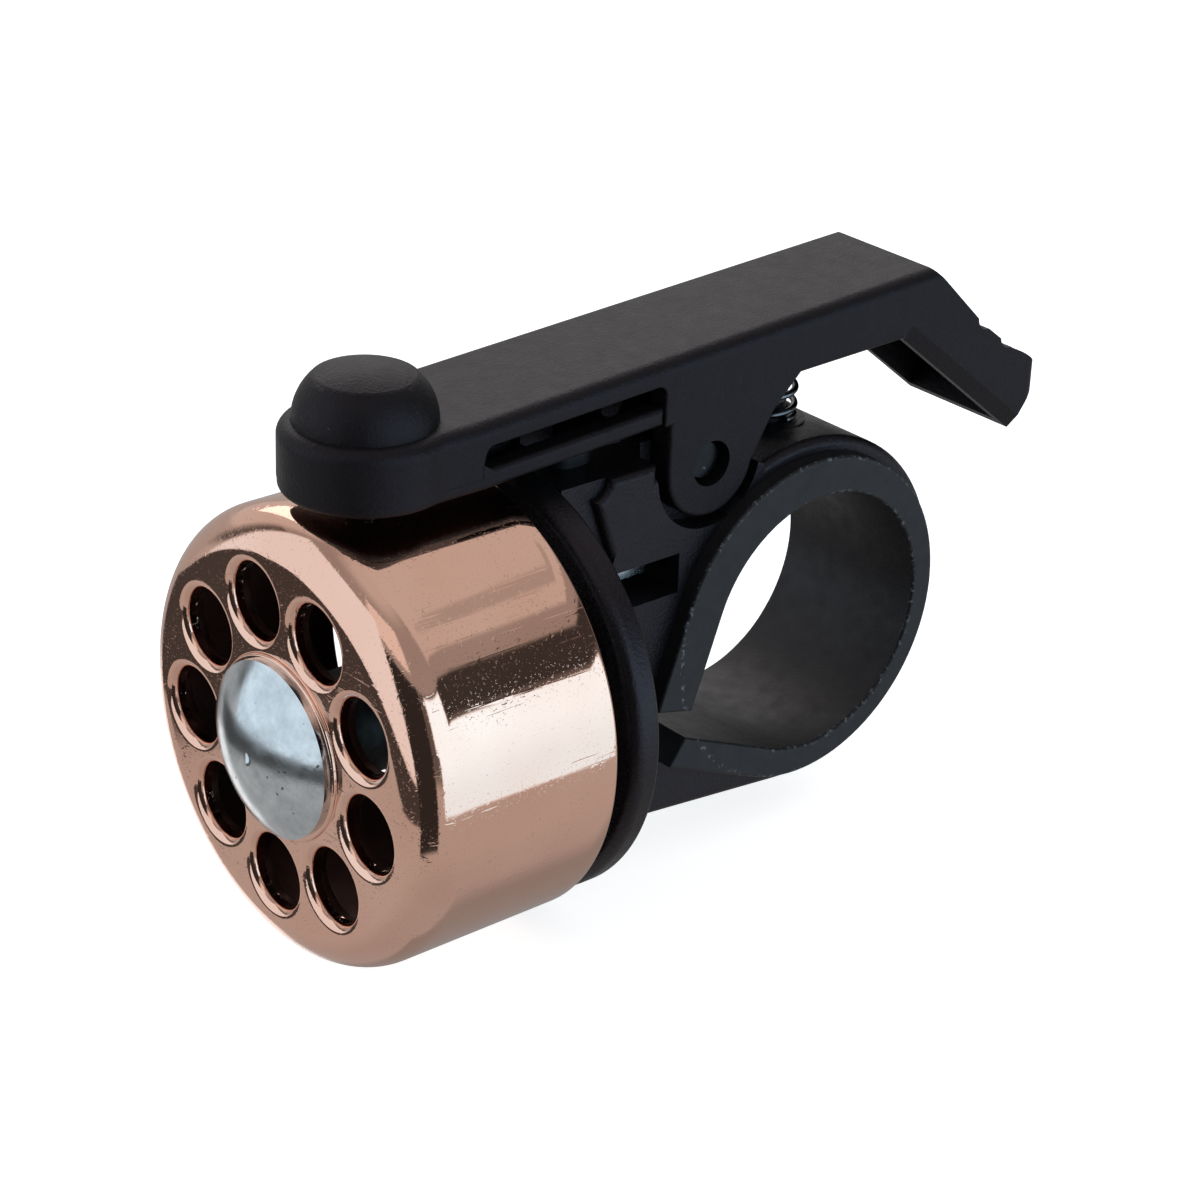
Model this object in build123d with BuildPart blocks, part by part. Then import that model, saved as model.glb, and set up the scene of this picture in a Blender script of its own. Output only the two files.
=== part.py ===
"""Handlebar bell: a perforated cup struck from above by a thumb lever on a strap clamp.

Frame: the origin is the centre of the handlebar bore, +X runs along the handlebar, -Y points
forward to the bell's face and +Z points up to the lever. All lengths are in millimetres.
"""
import os
from math import cos, radians, sin, tan
from build123d import *

# ---- handlebar, liner and strap -------------------------------------------------------------
BAR_R = 11.1             # a 22.2 mm handlebar
LINER_R = 13.9           # outside of the rubber liner
LINER_Y, LINER_Z = -0.75, 0.5   # the liner is thicker at the front and top
LINER_W, LINER_EDGE_R = 15.0, 0.25
STRAP_R = 15.05
LIP_UPPER = 160          # angle where the bore's front wall leaves the circle
LIP_LOWER = 247          # angle where the bore's floor leaves the circle
LIP_RUN_UPPER, LIP_RUN_LOWER = 8.3, 10.3    # straight lips of the bore
SEAT_GAP = 0.03          # between pieces that are held together
HOLE_GAP = 0.1           # round a screw or bolt in its hole

# ---- body -----------------------------------------------------------------------------------
BODY_W = 12.2
CORE_W = 7.8
BLOCK_FRONT = -25.75
PAD_X = 5.3              # half width of the neck in front of the raised pads
PAD_EDGE_R = 0.6
BLOCK_TOP = 17.5
CORE_TOP, CORE_FRONT = 18.7, -16.8
RECESS_R, RECESS_Y = 5.3, -11.45
RECESS_TOP = (-8.6, 21.4, 16.4, 10.0)       # centre and size of the way in for the ears
BLOCK_OUTLINE = ((BLOCK_FRONT, BLOCK_TOP), (-11.3, BLOCK_TOP), (-5.6, 14.9), (-4.0, 0.0),
                 (-14.0, -4.1), (-17.0, -3.9), (BLOCK_FRONT, -4.6))
PAD_FRONT_TOP, PAD_FRONT_FOOT = (-22.9, 16.0), (-21.0, 10.6)    # the pads' front edge
PAD_CORNER_R = 1.5
STRAP_EDGE_R = 0.7
CORE_PIVOT_R = 3.4
SCREW_POCKET_R, SCREW_POCKET_CLEAR = 4.2, 0.5
NUT_SLOT_CLEAR = 0.12
LUG_TOP, LUG_FRONT = -8.1, -25.3
LUG_TILT = 5.4           # slope of the lug's underside, which runs on into the strap's round

# ---- lever ----------------------------------------------------------------------------------
PIVOT_Y, PIVOT_Z = -11.3, 16.35
PIN_R, PIN_L = 1.8, 10.4
EAR_HOLE_R = 1.87
EAR_R, EAR_T = 4.4, 2.0
LEVER_W = 12.2
LEVER_WALL = 1.6
LEVER_EDGE_R = 1.1
BACK_START = (-34.0, 25.0)      # the head's flat top ends here and the back's slope begins
HEAD_Y, HEAD_R = -40.0, 6.45
HEAD_BOTTOM = 19.8
ARM_LIP = 1.0            # thickness of the striker arm's edge under the lever's head
RAIL_FRONT = (19.8, 21.4)       # bottom and top of the striker arm's rails at their front
RAIL_REAR = (20.7, 22.15)         # and at their rear
RAIL_R = 0.45
BRIDGE_TOP = 21.25
RIB_X, RIB_BOTTOM = 2.2, 21.75   # stiffening rib behind the screw post
RIB_DEEP = 19.9                  # it reaches lower in front of the arm's bridge and behind it
RIB_DEEP_FRONT, RIB_DEEP_REAR = (-27.3, -24.2), (-19.4, -18.3)
SLOT_FRONT, SLOT_REAR = -33.9, -16.3
SLOT_TOP_FRONT, SLOT_TOP_REAR = 23.15, 23.95
SLOT_END_R = 0.75
EAR_EDGE_R, SIDE_EDGE_R, SLOT_EDGE_R = 0.35, 0.3, 0.2
BEND_TOP = (12.4, 27.15)
BEND_BOTTOM = (9.2, 22.0)
WEB_FOOT = (-2.4, 21.75)        # where the ear's web meets the lever's lower edge
PADDLE_DIP = (18.5, 21.2)       # the paddle's slope eases here
PADDLE_END = (22.4, 18.2)       # where the paddle starts to round over
PADDLE_TIP_TOP = (26.3, 15.3)
PADDLE_TIP_BOTTOM = (22.9, 10.9)
PADDLE_Y, PADDLE_BULGE, PADDLE_CORNER_R = 25.4, 0.8, 1.2   # its end in plan
PADDLE_WALL = 1.2
BEVEL_H, BEVEL_IN = 1.3, 0.4    # bevel along the paddle's skirt
LIP_EDGE_R = 0.5
CREASE_R = 0.55
GROOVE_R, GROOVE_DEPTH = 1.2, 0.35
PADDLE_NORMAL = (0.62, 0.78)    # straight out of the paddle's top, in the side view
GROOVES = (PADDLE_DIP, (21.4, 18.97))   # grip grooves across the paddle
HEAD_BLEND_R = 6.0       # between the round head and the straight sides
BOSS_R, BOSS_TOP_R = 5.4, 3.85
BOSS_CREASE, BOSS_TOP = 28.45, 29.1
WEIGHT_R, WEIGHT_BOTTOM, WEIGHT_TOP = 3.85, 21.95, 26.85
STRIKER_R, STRIKER_GAP = 1.6, 0.4
ARM_SCREW_Y, ARM_SCREW_R, ARM_SCREW_HEAD_R = -30.5, 1.0, 1.9
ARM_SCREW_HEAD_H, ARM_SCREW_L = 0.7, 3.9
ARM_CROSS_L, ARM_CROSS_W, ARM_CROSS_DEPTH = 2.2, 0.5, 0.45
SCREW_POST_R, SCREW_POST_BOTTOM, SCREW_BORE_H = 2.2, 21.7, 2.4
ARM_BOSS_R, ARM_BOSS_H = 3.2, 0.9
BUMPER_R = 1.2
BUMPER_Y, BUMPER_L, BUMPER_W = -21.8, 3.6, 5.0

# ---- bell cup and its bolt --------------------------------------------------------------------
BELL_Z = 0.73
CUP_R, CUP_T = 18.0, 0.8
CUP_FRONT, CUP_REAR = -47.9, -30.2
CUP_EDGE_R = 3.4
HOLE_COUNT, HOLE_R, HOLE_PCR = 9, 2.93, 11.08
HOLE_START = 26.1        # angle of the first hole from +X
FLARE_R = 0.72
COLLAR_DEPTH, COLLAR_MARGIN = 1.9, 0.05     # the hole's rolled-in collar
SEAT_R, SEAT_H, SEAT_EDGE_R = 7.3, 0.3, 0.2
BOLT_R, BOLT_HEAD_R, BOLT_HEAD_H = 2.45, 6.9, 2.6
NECK, NECK_L = 5.4, 2.1  # square under the bolt's head
DISC_R, DISC_FRONT, DISC_REAR = 17.6, -28.2, -25.8
DISC_FRONT_R = 1.0       # rounding of the disc's front edge
HUB_R, HUB_FRONT = 5.5, -38.0
WASHER_T = 1.0
NUT_REAR, NUT_T, NUT_AF = -21.6, 2.5, 8.0
LOCK_R, LOCK_T, LOCK_SPLIT = 3.9, 0.8, 0.5
NUT_SLOT_FOOT, NUT_SLOT_TOP = -6.0, 5.38
WASHER_R, SPACER_R = 6.0, 4.2
DISC_RING_R, DISC_RING_H = 8.2, 3.0
RIB_COUNT, RIB_L, RIB_W, RIB_H, RIB_MID = 6, 7.4, 1.2, 1.9, 11.5
BOLT_TIP = -21.45

# ---- clamp screw ------------------------------------------------------------------------------
SCREW_Y, SCREW_R = -19.0, 1.95
UNDERSIDE, SCREW_WAY_TOP = -15.0, 12.0      # the screw's way runs up from below the lug
CROSS_L, CROSS_W, CROSS_DEPTH = 4.0, 0.8, 1.3
CLAMP_WASHER_R, CLAMP_WASHER_T = 4.1, 0.47
SCREW_HEAD_R, SCREW_HEAD_H, SCREW_HEAD_Z = 3.6, 2.2, -12.9
SCREW_HEAD_EDGE_R = 1.2
SCREW_TIP, SCREW_TIP_CHAMFER = 10.95, 0.4
NUT_CHAMFER = 0.35
SQUARE_NUT, SQUARE_NUT_T = 7.0, 2.2
NUT_Z = 7.3              # the nut rides at the top of its window
WINDOW_Z = 6.2
WINDOW_H = 3.35
WINDOW_FRONT, WINDOW_REAR = -22.7, -14.2

# ---- return spring ----------------------------------------------------------------------------
SPRING_Y = 0.2
SPRING_BOTTOM, SPRING_TOP = 15.55, 24.7
SPRING_R, WIRE_R, SPRING_TURNS = 2.2, 0.27, 6
SPRING_SEAT_R, STUD_R, STUD_H = 3.1, 1.55, 1.6
SPRING_SEAT_FOOT = 14.6
UPPER_STUD_FOOT, UPPER_STUD_H = 23.4, 2.6

SIDE = Plane.YZ
BELL_AXIS = Axis((0, 0, BELL_Z), (0, 1, 0))


def bell_plane(y):
    """A plane across the bell's axis, facing forward, with its origin on that axis."""
    return Plane(origin=(0, y, BELL_Z), x_dir=(1, 0, 0), z_dir=(0, -1, 0))


def on_circle(centre_y, centre_z, radius, angle):
    """The point at an angle on a circle in the side view."""
    return (centre_y + radius * cos(radians(angle)), centre_z + radius * sin(radians(angle)))


def liner_outline(radius, centre_y, centre_z, run_upper, run_lower):
    """Side-view outline of a round wall that runs out in two straight lips at the lower front."""
    upper = on_circle(centre_y, centre_z, radius, LIP_UPPER)
    lower = on_circle(centre_y, centre_z, radius, LIP_LOWER)
    rear = on_circle(centre_y, centre_z, radius, (LIP_UPPER + LIP_LOWER) / 2 - 180)
    upper_end = (upper[0] - run_upper * sin(radians(LIP_UPPER)),
                 upper[1] + run_upper * cos(radians(LIP_UPPER)))
    lower_end = (lower[0] + run_lower * sin(radians(LIP_LOWER)),
                 lower[1] - run_lower * cos(radians(LIP_LOWER)))
    return upper_end, upper, rear, lower, lower_end


def save(part, name):
    """Label a finished piece and write it."""
    part.label = name
    export_step(part, f"parts/{name}.step")


os.makedirs("parts", exist_ok=True)

# ---- rubber liner: a split sleeve, thin at the back, with two lips at the lower front ----------
with BuildPart() as rubber_liner:
    with BuildSketch(SIDE):
        with BuildLine():
            i_up, i_a, i_rear, i_b, i_low = liner_outline(BAR_R, 0, 0, LIP_RUN_UPPER, LIP_RUN_LOWER)
            o_up, o_a, o_rear, o_b, o_low = liner_outline(
                LINER_R, LINER_Y, LINER_Z, LIP_RUN_UPPER + 0.6, LIP_RUN_LOWER - 0.3)
            Line(i_up, i_a)
            ThreePointArc(i_a, i_rear, i_b)
            Line(i_b, i_low)
            Line(i_low, o_low)
            Line(o_low, o_b)
            ThreePointArc(o_b, o_rear, o_a)
            Line(o_a, o_up)
            Line(o_up, i_up)
        make_face()
    extrude(amount=LINER_W / 2, both=True)
    rims = rubber_liner.edges().filter_by(lambda e: abs(abs(e.center().X) - LINER_W / 2) < 0.02)
    fillet(rims, radius=LINER_EDGE_R)
save(rubber_liner.part, "rubber_liner")

# ---- bracket: block, ear recesses, strap and tail lug in one moulding ----------------------------
with BuildPart() as bracket:
    with BuildSketch(SIDE):
        with Locations((LINER_Y, LINER_Z)):
            Circle(STRAP_R)
        with BuildLine():
            Polyline(*BLOCK_OUTLINE, close=True)
        make_face()
        with BuildLine():
            lug_rear = on_circle(LINER_Y, LINER_Z, STRAP_R, -90 - LUG_TILT)
            lug_foot = (LUG_FRONT, lug_rear[1] + (lug_rear[0] - LUG_FRONT) * tan(radians(LUG_TILT)))
            Polyline(lug_foot, lug_rear, (lug_rear[0], -13.0), (-12.0, -8.6), (-15.7, LUG_TOP),
                     (LUG_FRONT, LUG_TOP), close=True)
        make_face()
        with BuildLine():
            c_up, c_a, c_rear, c_b, c_low = liner_outline(
                LINER_R + SEAT_GAP, LINER_Y, LINER_Z, LIP_RUN_UPPER + 0.7, LIP_RUN_LOWER - 0.2)
            Line(c_up, c_a)
            ThreePointArc(c_a, c_rear, c_b)
            Polyline(c_b, c_low, (-30.0, LUG_TOP), (-30.0, -4.9), (BLOCK_FRONT, -4.6),
                     (-17.0, -3.9), c_up)
        make_face(mode=Mode.SUBTRACT)
    extrude(amount=BODY_W / 2, both=True)
    strap_edges = bracket.edges().filter_by(GeomType.CIRCLE).filter_by(
        lambda e: abs(e.radius - STRAP_R) < 0.01)
    lug_edges = bracket.edges().filter_by(GeomType.LINE).filter_by(
        lambda e: abs(abs(e.center().X) - BODY_W / 2) < 0.02 and LUG_FRONT < e.center().Y < -2.5
        and e.center().Z < lug_foot[1] - 0.2)
    fillet(strap_edges + lug_edges, radius=STRAP_EDGE_R)
    # the ears drop into a recess on each side of the core
    for side in (-1, 1):
        with BuildSketch(Plane.YZ.offset(side * (BODY_W / 2 + 1))):
            with Locations((RECESS_Y, PIVOT_Z)):
                Circle(RECESS_R)
            with Locations(RECESS_TOP[:2]):
                Rectangle(*RECESS_TOP[2:])
        extrude(amount=-side * ((BODY_W - CORE_W) / 2 + 1), mode=Mode.SUBTRACT)
    # the core rises between the ears and carries the pivot pin
    with BuildSketch(SIDE):
        with BuildLine():
            Polyline((CORE_FRONT, CORE_TOP), (PIVOT_Y, CORE_TOP), (PIVOT_Y + CORE_PIVOT_R, PIVOT_Z),
                     (-4.0, 14.6), (-9.5, 12.0), (CORE_FRONT, 12.0), close=True)
        make_face()
        with Locations((PIVOT_Y, PIVOT_Z)):
            Circle(CORE_PIVOT_R)
    extrude(amount=CORE_W / 2, both=True)
    with BuildSketch(SIDE):
        with Locations((PIVOT_Y, PIVOT_Z)):
            Circle(PIN_R + 0.01)
    extrude(amount=BODY_W, both=True, mode=Mode.SUBTRACT)
    # the raised side pads stop short of the bell's disc and leave a narrower neck
    for side in (-1, 1):
        with BuildSketch(Plane.YZ.offset(side * (BODY_W / 2 + 1))):
            with BuildLine():
                pad_top = (PAD_FRONT_TOP[0] + PAD_CORNER_R, PAD_FRONT_TOP[1] + PAD_CORNER_R)
                RadiusArc(PAD_FRONT_TOP, pad_top, -PAD_CORNER_R)
                Polyline(pad_top, (pad_top[0], 20.0), (BLOCK_FRONT - 1, 20.0), (BLOCK_FRONT - 1, 2.0),
                         (-23.0, 4.0), PAD_FRONT_FOOT, PAD_FRONT_TOP)
            make_face()
        extrude(amount=-side * (BODY_W / 2 + 1 - PAD_X), mode=Mode.SUBTRACT)
    pad_edges = bracket.edges().filter_by(
        lambda e: abs(abs(e.center().X) - BODY_W / 2) < 0.02 and e.center().Z > 10.3 and e.center().Y < -16.5)
    fillet(pad_edges, radius=PAD_EDGE_R)
    # flat seat and locating stud for the return spring on top of the strap
    with BuildSketch(Plane.XY.offset(SPRING_SEAT_FOOT)):
        with Locations((0, SPRING_Y)):
            Circle(SPRING_SEAT_R)
    extrude(amount=SPRING_BOTTOM - SPRING_SEAT_FOOT)
    with BuildSketch(Plane.XY.offset(SPRING_BOTTOM)):
        with Locations((0, SPRING_Y)):
            Circle(STUD_R)
    extrude(amount=STUD_H)
    # nut window right through the block, above the bell's bolt
    with BuildSketch(Plane.XY.offset(WINDOW_Z)):
        with Locations((0, (WINDOW_FRONT + WINDOW_REAR) / 2)):
            Rectangle(BODY_W + 2, WINDOW_REAR - WINDOW_FRONT)
    extrude(amount=WINDOW_H, mode=Mode.SUBTRACT)
    # clamp screw's way up through the lug and the block
    with BuildSketch(Plane.XY.offset(UNDERSIDE)):
        with Locations((0, SCREW_Y)):
            Circle(SCREW_R + 0.15)
    extrude(amount=SCREW_WAY_TOP - UNDERSIDE, mode=Mode.SUBTRACT)
    with BuildSketch(Plane.XY.offset(UNDERSIDE)):
        with Locations((0, SCREW_Y)):
            Circle(SCREW_POCKET_R)
    extrude(amount=SCREW_HEAD_Z + SCREW_HEAD_H + SCREW_POCKET_CLEAR - UNDERSIDE, mode=Mode.SUBTRACT)
    # bell bolt's hole, and the nut's slot from the underside of the block
    with BuildSketch(bell_plane(BLOCK_FRONT)):
        Circle(BOLT_R + 0.1)
    extrude(amount=BLOCK_FRONT - BOLT_TIP - 0.05, mode=Mode.SUBTRACT)
    with BuildSketch(Plane.XY.offset(NUT_SLOT_FOOT)):
        with Locations((0, NUT_REAR - (NUT_T + LOCK_T) / 2)):
            Rectangle(NUT_AF + 2 * HOLE_GAP, NUT_T + LOCK_T + NUT_SLOT_CLEAR)
    extrude(amount=NUT_SLOT_TOP - NUT_SLOT_FOOT, mode=Mode.SUBTRACT)
save(bracket.part, "bracket")

# ---- clamp screw from below, with its washer and its square nut in the window ----------------------
with BuildPart() as clamp_screw:
    with BuildSketch(Plane.XY.offset(SCREW_HEAD_Z)):
        with Locations((0, SCREW_Y)):
            Circle(SCREW_HEAD_R)
    extrude(amount=SCREW_HEAD_H)
    fillet(clamp_screw.faces().sort_by(Axis.Z)[0].edges(), radius=SCREW_HEAD_EDGE_R)
    with BuildSketch(Plane.XY.offset(SCREW_HEAD_Z)):
        with Locations((0, SCREW_Y)):
            Rectangle(CROSS_L, CROSS_W)
            Rectangle(CROSS_W, CROSS_L)
    extrude(amount=CROSS_DEPTH, mode=Mode.SUBTRACT)
    with BuildSketch(Plane.XY.offset(SCREW_HEAD_Z + SCREW_HEAD_H)):
        with Locations((0, SCREW_Y)):
            Circle(SCREW_R)
    extrude(amount=SCREW_TIP - SCREW_HEAD_Z - SCREW_HEAD_H)
    chamfer(clamp_screw.faces().sort_by(Axis.Z)[-1].edges(), length=SCREW_TIP_CHAMFER)
save(clamp_screw.part, "clamp_screw")

with BuildPart() as clamp_washer:
    with BuildSketch(Plane.XY.offset(SCREW_HEAD_Z + SCREW_HEAD_H + 0.01)):
        with Locations((0, SCREW_Y)):
            Circle(CLAMP_WASHER_R)
            Circle(SCREW_R + 0.05, mode=Mode.SUBTRACT)
    extrude(amount=CLAMP_WASHER_T)
save(clamp_washer.part, "clamp_washer")

with BuildPart() as clamp_nut:
    with BuildSketch(Plane.XY.offset(NUT_Z)):
        with Locations((0, SCREW_Y)):
            Rectangle(SQUARE_NUT, SQUARE_NUT)
            Circle(SCREW_R + 0.02, mode=Mode.SUBTRACT)
    extrude(amount=SQUARE_NUT_T)
    chamfer(clamp_nut.faces().sort_by(Axis.Z)[-1].outer_wire().edges(), length=NUT_CHAMFER)
save(clamp_nut.part, "clamp_nut")

# ---- bell cup: a drawn cup with a ring of rolled-in holes and a raised seat for the bolt -------------
with BuildPart() as bell_cup:
    with BuildSketch(bell_plane(CUP_REAR)):
        Circle(CUP_R)
    extrude(amount=CUP_REAR - CUP_FRONT)
    fillet(bell_cup.faces().sort_by(Axis.Y)[0].edges(), radius=CUP_EDGE_R)
    offset(amount=-CUP_T, openings=bell_cup.faces().sort_by(Axis.Y)[-1])
    with BuildSketch(bell_plane(CUP_FRONT)):
        with PolarLocations(HOLE_PCR, HOLE_COUNT, start_angle=HOLE_START):
            Circle(HOLE_R + FLARE_R + COLLAR_MARGIN)
    extrude(amount=-COLLAR_DEPTH)
    with BuildSketch(bell_plane(CUP_FRONT)):
        with PolarLocations(HOLE_PCR, HOLE_COUNT, start_angle=HOLE_START):
            Circle(HOLE_R)
    extrude(amount=-3.0, mode=Mode.SUBTRACT)
    hole_rims = bell_cup.edges().filter_by(GeomType.CIRCLE).filter_by(
        lambda e: abs(e.radius - HOLE_R) < 0.01 and abs(e.center().Y - CUP_FRONT) < 0.01)
    fillet(hole_rims, radius=FLARE_R)
    with BuildSketch(bell_plane(CUP_FRONT + 0.1)):
        Circle(SEAT_R)
    extrude(amount=SEAT_H + 0.1)
    seat_edge = bell_cup.edges().filter_by(GeomType.CIRCLE).filter_by(
        lambda e: abs(e.radius - SEAT_R) < 0.01 and e.center().Y < CUP_FRONT - 0.1)
    fillet(seat_edge, radius=SEAT_EDGE_R)
    with BuildSketch(bell_plane(CUP_FRONT - 1.0)):
        Rectangle(NECK + 0.2, NECK + 0.2)
    extrude(amount=-3.0, mode=Mode.SUBTRACT)
save(bell_cup.part, "bell_cup")

# ---- centre bolt: low domed head, square neck and round shank ---------------------------------------
BOLT_SEAT = CUP_FRONT - SEAT_H
with BuildPart() as centre_bolt:
    with BuildSketch(SIDE):
        with BuildLine():
            rim = (BOLT_SEAT - 0.5, BELL_Z + BOLT_HEAD_R)
            crown = (BOLT_SEAT - BOLT_HEAD_H, BELL_Z)
            RadiusArc(rim, crown, -(BOLT_HEAD_R**2 + 2.1**2) / 4.2)
            Polyline(crown, (BOLT_SEAT, BELL_Z), (BOLT_SEAT, BELL_Z + BOLT_HEAD_R), rim)
        make_face()
    revolve(axis=BELL_AXIS)
    with BuildSketch(bell_plane(BOLT_SEAT)):
        Rectangle(NECK, NECK)
    extrude(amount=-NECK_L)
    with BuildSketch(bell_plane(BOLT_SEAT)):
        Circle(BOLT_R)
    extrude(amount=BOLT_SEAT - BOLT_TIP)
    chamfer(centre_bolt.faces().sort_by(Axis.Y)[-1].edges(), length=0.5)
save(centre_bolt.part, "centre_bolt")

# ---- fibre washer and spacer tube behind the cup's face -----------------------------------------------
WASHER_FRONT = CUP_FRONT + CUP_T
with BuildPart() as fibre_washer:
    with BuildSketch(bell_plane(WASHER_FRONT + SEAT_GAP)):
        Circle(WASHER_R)
        Rectangle(NECK + 0.3, NECK + 0.3, mode=Mode.SUBTRACT)
    extrude(amount=-WASHER_T)
save(fibre_washer.part, "fibre_washer")

SPACER_FRONT = WASHER_FRONT + WASHER_T + 2 * SEAT_GAP
with BuildPart() as spacer_tube:
    with BuildSketch(bell_plane(SPACER_FRONT)):
        Circle(SPACER_R)
        Circle(BOLT_R + 0.35, mode=Mode.SUBTRACT)
    extrude(amount=-(HUB_FRONT - SPACER_FRONT - SEAT_GAP))
    chamfer(spacer_tube.edges().group_by(Axis.Y)[0], length=0.2)
save(spacer_tube.part, "spacer_tube")

# ---- back plate: a disc behind the cup with a stepped hub that carries the spacer ----------------------
with BuildPart() as back_plate:
    with BuildSketch(bell_plane(DISC_REAR)):
        Circle(DISC_R)
    extrude(amount=DISC_REAR - DISC_FRONT)
    fillet(back_plate.edges().sort_by(Axis.Y)[0], radius=DISC_FRONT_R)
    fillet(back_plate.edges().sort_by(Axis.Y)[-1], radius=0.35)
    with BuildSketch(bell_plane(DISC_FRONT + 0.5)):
        Circle(HUB_R)
    extrude(amount=DISC_FRONT + 0.5 - HUB_FRONT)
    with BuildSketch(bell_plane(DISC_FRONT + 0.5)):
        Circle(DISC_RING_R)
    extrude(amount=DISC_RING_H)
    for rib in range(RIB_COUNT):
        with BuildSketch(bell_plane(DISC_FRONT + 0.5)):
            with Locations(Location((0, 0), 360 * (rib + 0.5) / RIB_COUNT)):
                with Locations((RIB_MID, 0)):
                    Rectangle(RIB_L, RIB_W)
        extrude(amount=RIB_H)
    with BuildSketch(bell_plane(DISC_REAR)):
        Circle(BOLT_R + 0.1)
    extrude(amount=DISC_REAR - HUB_FRONT + 1.0, mode=Mode.SUBTRACT)
    hub_rims = back_plate.edges().filter_by(GeomType.CIRCLE).group_by(Axis.Y)[0]
    chamfer(hub_rims.sort_by(SortBy.RADIUS)[-1], length=0.4)
save(back_plate.part, "back_plate")

with BuildPart() as bolt_nut:
    with BuildSketch(bell_plane(NUT_REAR)):
        RegularPolygon(NUT_AF / 2, 6, major_radius=False, rotation=30)
        Circle(BOLT_R + 0.02, mode=Mode.SUBTRACT)
    extrude(amount=NUT_T)
save(bolt_nut.part, "bolt_nut")

# ---- split lock washer between the bolt's nut and the block's wall ------------------------------
with BuildPart() as lock_washer:
    with BuildSketch(bell_plane(NUT_REAR - NUT_T - SEAT_GAP)):
        Circle(LOCK_R)
        Circle(BOLT_R + 0.1, mode=Mode.SUBTRACT)
        with Locations((0, LOCK_R)):
            Rectangle(LOCK_SPLIT, LOCK_R, mode=Mode.SUBTRACT)
    extrude(amount=LOCK_T)
save(lock_washer.part, "lock_washer")

# ---- pivot pin: fixed in the core, the lever's ears turn on its ends --------------------------------------
with BuildPart() as pivot_pin:
    with BuildSketch(SIDE):
        with Locations((PIVOT_Y, PIVOT_Z)):
            Circle(PIN_R)
    extrude(amount=PIN_L / 2, both=True)
    chamfer(pivot_pin.edges(), length=0.35)
save(pivot_pin.part, "pivot_pin")

# ---- return spring -----------------------------------------------------------------------------------------
SPRING_H = SPRING_TOP - SPRING_BOTTOM - 2 * WIRE_R - 0.1
with BuildPart() as return_spring:
    with BuildLine(Plane(origin=(0, SPRING_Y, SPRING_BOTTOM + WIRE_R + 0.03))):
        coil = Helix(pitch=SPRING_H / SPRING_TURNS, height=SPRING_H, radius=SPRING_R)
    with BuildSketch(Plane(origin=coil @ 0, z_dir=coil % 0)):
        Circle(WIRE_R)
    sweep(is_frenet=True)
save(return_spring.part, "return_spring")

# ---- rest bumper: a rubber pad on the block that the striker arm comes down on ----------------------
with BuildPart() as rest_bumper:
    with BuildSketch(Plane.XY.offset(BLOCK_TOP)):
        with Locations((0, BUMPER_Y)):
            RectangleRounded(BUMPER_W, BUMPER_L, BUMPER_R)
    extrude(amount=HEAD_BOTTOM - BLOCK_TOP - 0.05)
save(rest_bumper.part, "rest_bumper")


def lever_top(y):
    """Height of the lever's sloping back at a given y."""
    slope = (BEND_TOP[1] - BACK_START[1]) / (BEND_TOP[0] - BACK_START[0])
    return BACK_START[1] + slope * (y - BACK_START[0])


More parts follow.
